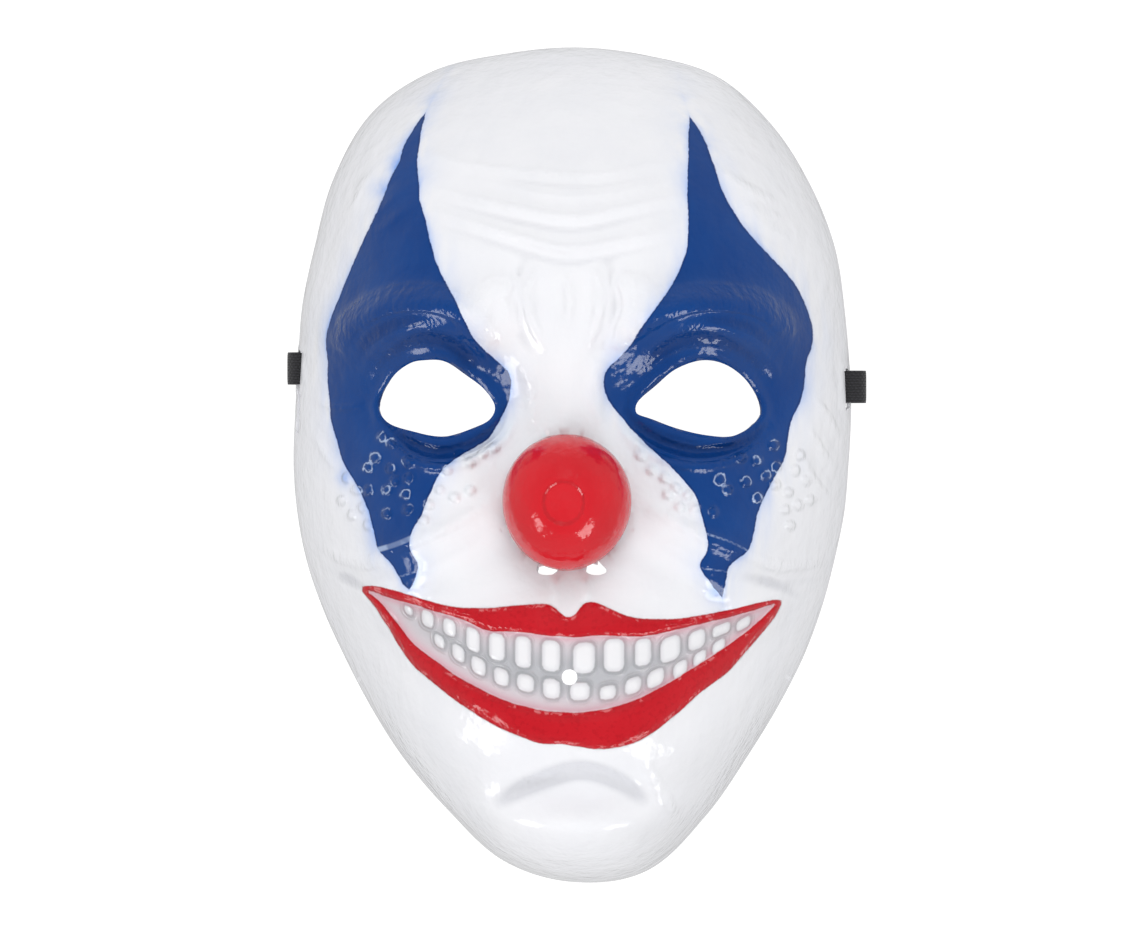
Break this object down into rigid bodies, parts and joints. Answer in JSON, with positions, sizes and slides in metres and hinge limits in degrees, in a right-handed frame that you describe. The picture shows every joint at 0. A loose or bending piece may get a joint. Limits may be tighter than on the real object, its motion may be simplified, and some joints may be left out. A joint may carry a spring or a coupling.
{
  "type": "clown face mask",
  "caption": "One-piece moulded white face mask with a grinning clown's make-up, ball nose, open eyes and a flat elastic strap, lying face up on its rim",
  "frame": {"origin": "middle of the floor that the moulded sheet covers, in the plane of its rim", "axes": "+X to the right of the face as it is looked at, +Y from the chin to the top of the forehead, +Z out of the face"},
  "size_m": [0.1799, 0.2602, 0.0852],
  "materials": {
    "sheet": "glossy",
    "elastic": "woven"
  },
  "bodies": {
    "root": {"mask_shell": "sheet", "elastic_strap": "elastic"}
  },
  "joints": []
}
